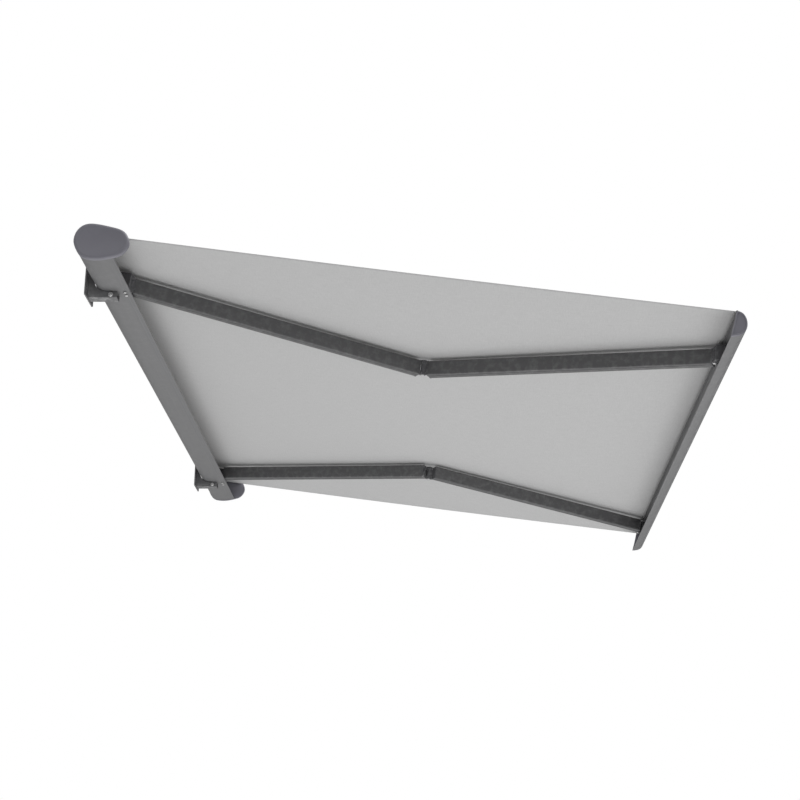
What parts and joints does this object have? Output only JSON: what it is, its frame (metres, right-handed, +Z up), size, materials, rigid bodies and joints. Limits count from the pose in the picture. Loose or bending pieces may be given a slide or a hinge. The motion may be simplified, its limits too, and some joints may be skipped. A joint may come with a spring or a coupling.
{
  "type": "canvas awning",
  "caption": "Cassette awning with a fabric roller, two spring-loaded folding arms, a front bar and a stretched canvas.",
  "frame": {"origin": "on the wall plane, midway along the awning's width, at the middle height of the wall brackets", "axes": "+X along the cassette, +Y into the wall, -Y towards the front bar, +Z up"},
  "size_m": [3.5, 2.5001, 0.4363],
  "materials": {
    "anthracite_coating": "fine matt powder coating, mid anthracite",
    "arm_coating": "fine matt powder coating, dark anthracite",
    "cap_plastic": "moulded plastic, satin",
    "cast_aluminium": "cast, powder coated dark",
    "bright_steel": "bright zinc plating",
    "galvanised_steel": "galvanised",
    "dark_steel": "oiled spring steel",
    "black_nylon": "moulded nylon",
    "awning_fabric": "woven light grey acrylic canvas"
  },
  "bodies": {
    "cassette": {"cassette_back_profile": "anthracite_coating", "cassette_hood": "anthracite_coating", "fabric": "awning_fabric", "idler_bracket": "galvanised_steel", "idler_pin": "bright_steel", "left_clamp_block": "galvanised_steel", "left_clamp_bolt": "bright_steel", "left_end_cap": "cap_plastic", "left_shoulder_bracket": "cast_aluminium", "left_shoulder_pin": "bright_steel", "left_shoulder_screw_1": "bright_steel", "left_shoulder_screw_2": "bright_steel", "left_wall_bracket": "anthracite_coating", "motor_bracket": "galvanised_steel", "right_clamp_block": "galvanised_steel", "right_clamp_bolt": "bright_steel", "right_end_cap": "cap_plastic", "right_shoulder_bracket": "cast_aluminium", "right_shoulder_pin": "bright_steel", "right_shoulder_screw_1": "bright_steel", "right_shoulder_screw_2": "bright_steel", "right_wall_bracket": "anthracite_coating", "tubular_motor": "dark_steel"},
    "roller": {"fabric_roll": "awning_fabric", "idler_plug": "black_nylon", "motor_crown_ring": "black_nylon", "motor_drive_wheel": "black_nylon", "roller_tube": "galvanised_steel"},
    "left_rear_arm": {"left_elbow_fork": "cast_aluminium", "left_elbow_pin": "bright_steel", "left_rear_arm_tube": "arm_coating", "left_shoulder_knuckle": "cast_aluminium"},
    "left_forearm": {"left_arm_spring": "dark_steel", "left_elbow_tongue": "cast_aluminium", "left_forearm_tube": "arm_coating", "left_front_knuckle": "cast_aluminium", "left_spring_anchor": "cast_aluminium", "left_spring_strap": "dark_steel"},
    "front_bar": {"fabric_keder_rod": "black_nylon", "front_profile": "anthracite_coating", "left_bar_cap": "cap_plastic", "left_front_bracket": "cast_aluminium", "left_front_pin": "bright_steel", "right_bar_cap": "cap_plastic", "right_front_bracket": "cast_aluminium", "right_front_pin": "bright_steel"},
    "right_rear_arm": {"right_elbow_fork": "cast_aluminium", "right_elbow_pin": "bright_steel", "right_rear_arm_tube": "arm_coating", "right_shoulder_knuckle": "cast_aluminium"},
    "right_forearm": {"right_arm_spring": "dark_steel", "right_elbow_tongue": "cast_aluminium", "right_forearm_tube": "arm_coating", "right_front_knuckle": "cast_aluminium", "right_spring_anchor": "cast_aluminium", "right_spring_strap": "dark_steel"}
  },
  "joints": [
    {"name": "left_shoulder", "type": "hinge", "parent": "cassette", "child": "left_rear_arm", "pos_m": [-1.374, -0.15842, 0.0055], "axis": [0, -0.1269, 0.9919], "range_deg": [0, 63.48], "deforming": ["fabric"]},
    {"name": "left_elbow", "type": "hinge", "parent": "left_rear_arm", "child": "left_forearm", "pos_m": [-0.816, -1.29714, -0.14017], "axis": [0, -0.1269, 0.9919], "range_deg": [-126.96, 0]},
    {"name": "left_front_pivot", "type": "hinge", "parent": "left_forearm", "child": "front_bar", "pos_m": [-1.374, -2.43586, -0.28584], "axis": [0, -0.1269, 0.9919], "range_deg": [0, 63.48]},
    {"name": "right_shoulder", "type": "hinge", "parent": "cassette", "child": "right_rear_arm", "pos_m": [1.374, -0.15842, 0.0055], "axis": [0, -0.1269, 0.9919], "range_deg": [-63.48, 0]},
    {"name": "right_elbow", "type": "hinge", "parent": "right_rear_arm", "child": "right_forearm", "pos_m": [0.816, -1.29714, -0.14017], "axis": [0, -0.1269, 0.9919], "range_deg": [0, 126.96]},
    {"name": "roller_turn", "type": "hinge", "parent": "cassette", "child": "roller", "pos_m": [0, -0.056, 0.034], "axis": [-1, 0, 0], "range_deg": [0, 3480]}
  ],
  "couplings": [
    {"joint": "left_elbow", "follows": "left_shoulder", "ratio": -2},
    {"joint": "left_front_pivot", "follows": "left_shoulder", "ratio": 1},
    {"joint": "right_shoulder", "follows": "left_shoulder", "ratio": -1},
    {"joint": "right_elbow", "follows": "left_shoulder", "ratio": 2},
    {"joint": "roller_turn", "follows": "left_shoulder", "ratio": 54.4}
  ]
}
